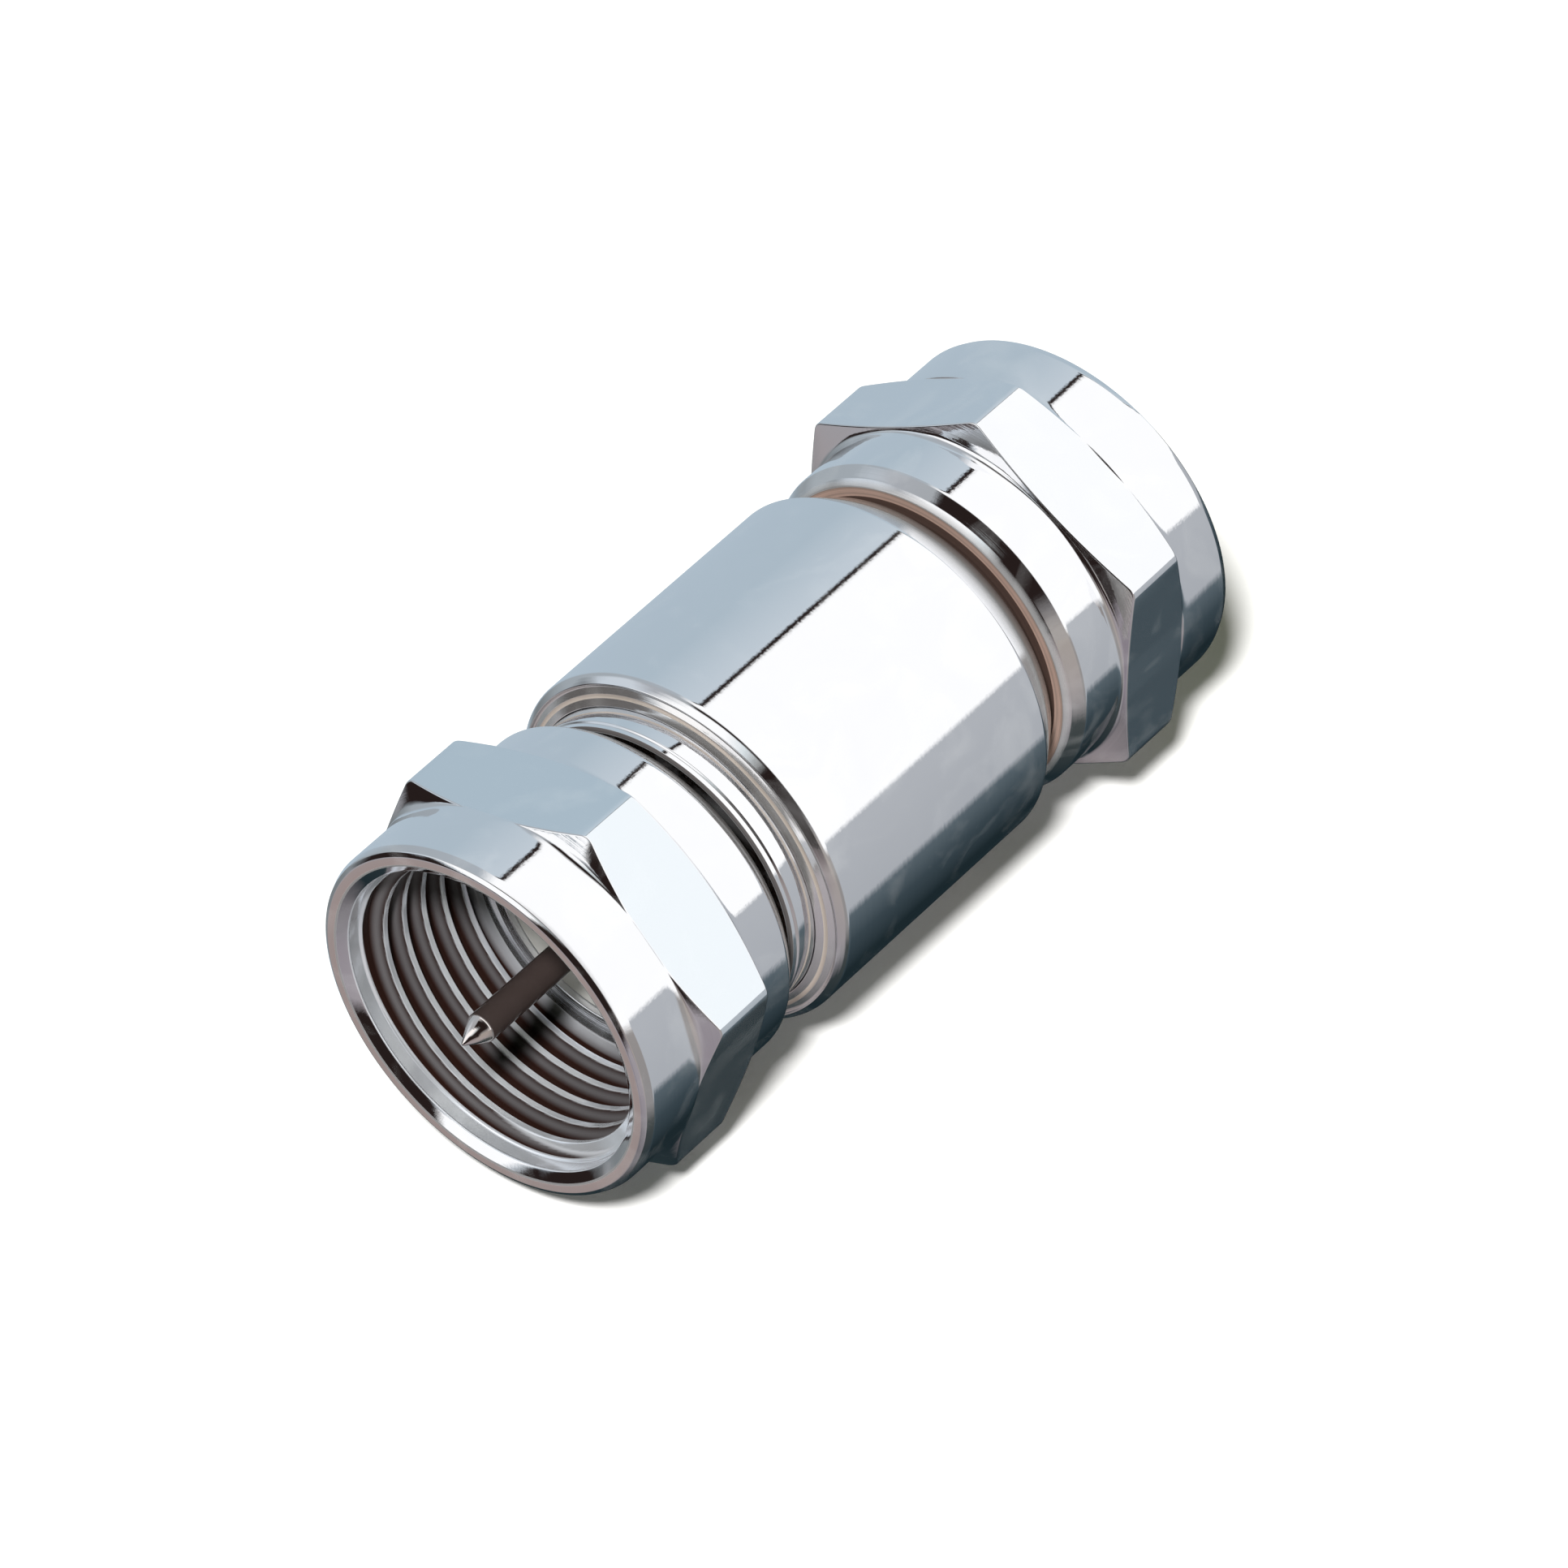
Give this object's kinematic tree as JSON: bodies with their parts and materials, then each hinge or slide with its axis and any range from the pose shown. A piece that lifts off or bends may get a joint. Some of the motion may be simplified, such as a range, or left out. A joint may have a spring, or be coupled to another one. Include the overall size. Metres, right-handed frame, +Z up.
{
  "type": "coaxial plug-to-plug coupler",
  "caption": "Coaxial coupler with a free-turning threaded hexagon nut at each end of a plain barrel, and one pointed contact right through.",
  "frame": {"origin": "on the axis, midway between the two nut mouths", "axes": "the axis lies along X; the front nut opens towards -X and the rear nut towards +X; +Z is up; the rear hexagon has a corner straight up"},
  "size_m": [0.0274, 0.0124, 0.0128],
  "materials": {
    "plated_metal": "polished bright plating over turned brass",
    "nut": "polished bright plating over milled and turned brass",
    "ferrule": "bright plating over turned brass",
    "contact": "plated, turned, with a ground point",
    "insulator": "plain moulded plastic"
  },
  "bodies": {
    "coupler_body": {"barrel_body": "plated_metal", "closing_bush": "plated_metal", "contact_pin": "contact", "front_ferrule": "ferrule", "rear_ferrule": "ferrule", "front_insulator": "insulator", "rear_insulator": "insulator"},
    "front_nut": {"front_coupling_nut": "nut"},
    "rear_nut": {"rear_coupling_nut": "nut"}
  },
  "joints": [
    {"name": "front_nut_spin", "type": "hinge", "parent": "coupler_body", "child": "front_nut", "pos_m": [-0.0094, 0, 0], "axis": [1, 0, 0], "continuous": true},
    {"name": "rear_nut_spin", "type": "hinge", "parent": "coupler_body", "child": "rear_nut", "pos_m": [0.0094, 0, 0], "axis": [1, 0, 0], "continuous": true}
  ]
}
